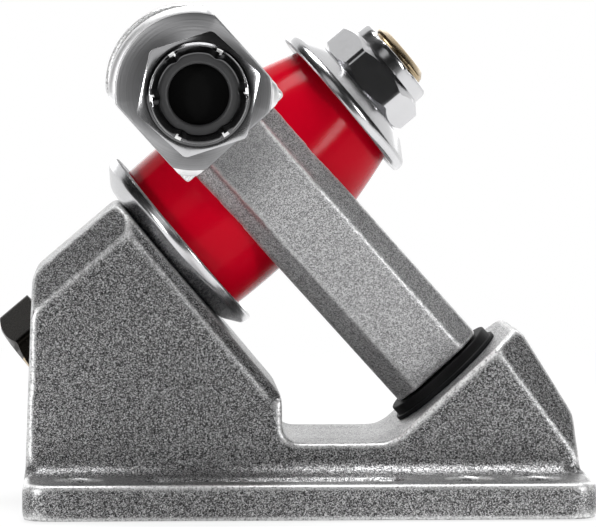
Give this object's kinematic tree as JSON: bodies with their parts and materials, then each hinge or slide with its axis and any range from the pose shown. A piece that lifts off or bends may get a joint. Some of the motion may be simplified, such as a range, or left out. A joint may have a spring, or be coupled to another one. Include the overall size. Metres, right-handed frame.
{
  "type": "longboard truck",
  "caption": "Longboard truck with reversed kingpin: cast baseplate and hanger, urethane bushings, cup washers and an axle that steers as the deck leans.",
  "frame": {"origin": "centre of the outer four deck holes, on the deck face", "axes": "+Z away from the deck, +X towards the pivot, Y along the axle"},
  "size_m": [0.0833, 0.2492, 0.0699],
  "materials": {
    "base_casting": "tumbled cast",
    "hanger_casting": "tumbled cast, end faces turned",
    "pivot_urethane": "moulded",
    "yellow_zinc": "yellow zinc plated",
    "bushing_urethane": "moulded, semi gloss",
    "washer_chrome": "polished",
    "nut_plating": "bright plated",
    "nylon": "moulded",
    "axle_steel": "ground",
    "ring_steel": "stamped and plated"
  },
  "bodies": {
    "base": {"baseplate": "base_casting", "pivot_cup": "pivot_urethane", "kingpin": "yellow_zinc", "lower_washer": "washer_chrome", "lower_bushing": "bushing_urethane", "upper_bushing": "bushing_urethane"},
    "hanger": {"hanger": "hanger_casting", "axle": "axle_steel"},
    "upper_stack": {"upper_washer": "washer_chrome"},
    "kingpin_nut": {"kingpin_nut": "nut_plating", "kingpin_nut_insert": "nylon"},
    "nut_stack_left": {"outer_speed_ring_left": "ring_steel"},
    "axle_nut_left": {"axle_nut_left": "nut_plating", "axle_nut_insert_left": "nylon"},
    "inner_speed_ring_left": {"inner_speed_ring_left": "ring_steel"},
    "nut_stack_right": {"outer_speed_ring_right": "ring_steel"},
    "axle_nut_right": {"axle_nut_right": "nut_plating", "axle_nut_insert_right": "nylon"},
    "inner_speed_ring_right": {"inner_speed_ring_right": "ring_steel"}
  },
  "joints": [
    {"name": "hanger_lean", "type": "hinge", "parent": "base", "child": "hanger", "pos_m": [-0.00585, 0, 0.0468], "axis": [0.6691, 0, -0.7431], "range_deg": [-20, 20], "stiffness_Nm_per_rad": 45, "deforming": ["lower_bushing", "upper_bushing"]},
    {"name": "upper_stack_travel", "type": "slide", "parent": "base", "child": "upper_stack", "axis": [0.7649, 0, 0.6441], "range_m": [-0.00106, 0.00106], "deforming": ["upper_bushing"]},
    {"name": "kingpin_nut_turn", "type": "hinge", "parent": "upper_stack", "child": "kingpin_nut", "pos_m": [-0.00585, 0, 0.0468], "axis": [0.7649, 0, 0.6441], "range_deg": [-360, 360]},
    {"name": "nut_stack_left_travel", "type": "slide", "parent": "hanger", "child": "nut_stack_left", "axis": [0, -1, 0], "range_m": [0, 0.0318]},
    {"name": "axle_nut_left_turn", "type": "hinge", "parent": "nut_stack_left", "child": "axle_nut_left", "pos_m": [-0.01696, 0, 0.05914], "axis": [0, -1, 0], "range_deg": [0, 10800]},
    {"name": "inner_speed_ring_left_slide", "type": "slide", "parent": "hanger", "child": "inner_speed_ring_left", "axis": [0, -1, 0], "range_m": [0, 0.0243]},
    {"name": "nut_stack_right_travel", "type": "slide", "parent": "hanger", "child": "nut_stack_right", "axis": [0, 1, 0], "range_m": [0, 0.0318]},
    {"name": "axle_nut_right_turn", "type": "hinge", "parent": "nut_stack_right", "child": "axle_nut_right", "pos_m": [-0.01696, 0, 0.05914], "axis": [0, 1, 0], "range_deg": [0, 10800]},
    {"name": "inner_speed_ring_right_slide", "type": "slide", "parent": "hanger", "child": "inner_speed_ring_right", "axis": [0, 1, 0], "range_m": [0, 0.0243]}
  ],
  "couplings": [
    {"joint": "upper_stack_travel", "follows": "kingpin_nut_turn", "m_per_rad": 0.00016844},
    {"joint": "nut_stack_left_travel", "follows": "axle_nut_left_turn", "m_per_rad": 0.00016844},
    {"joint": "nut_stack_right_travel", "follows": "axle_nut_right_turn", "m_per_rad": 0.00016844}
  ]
}
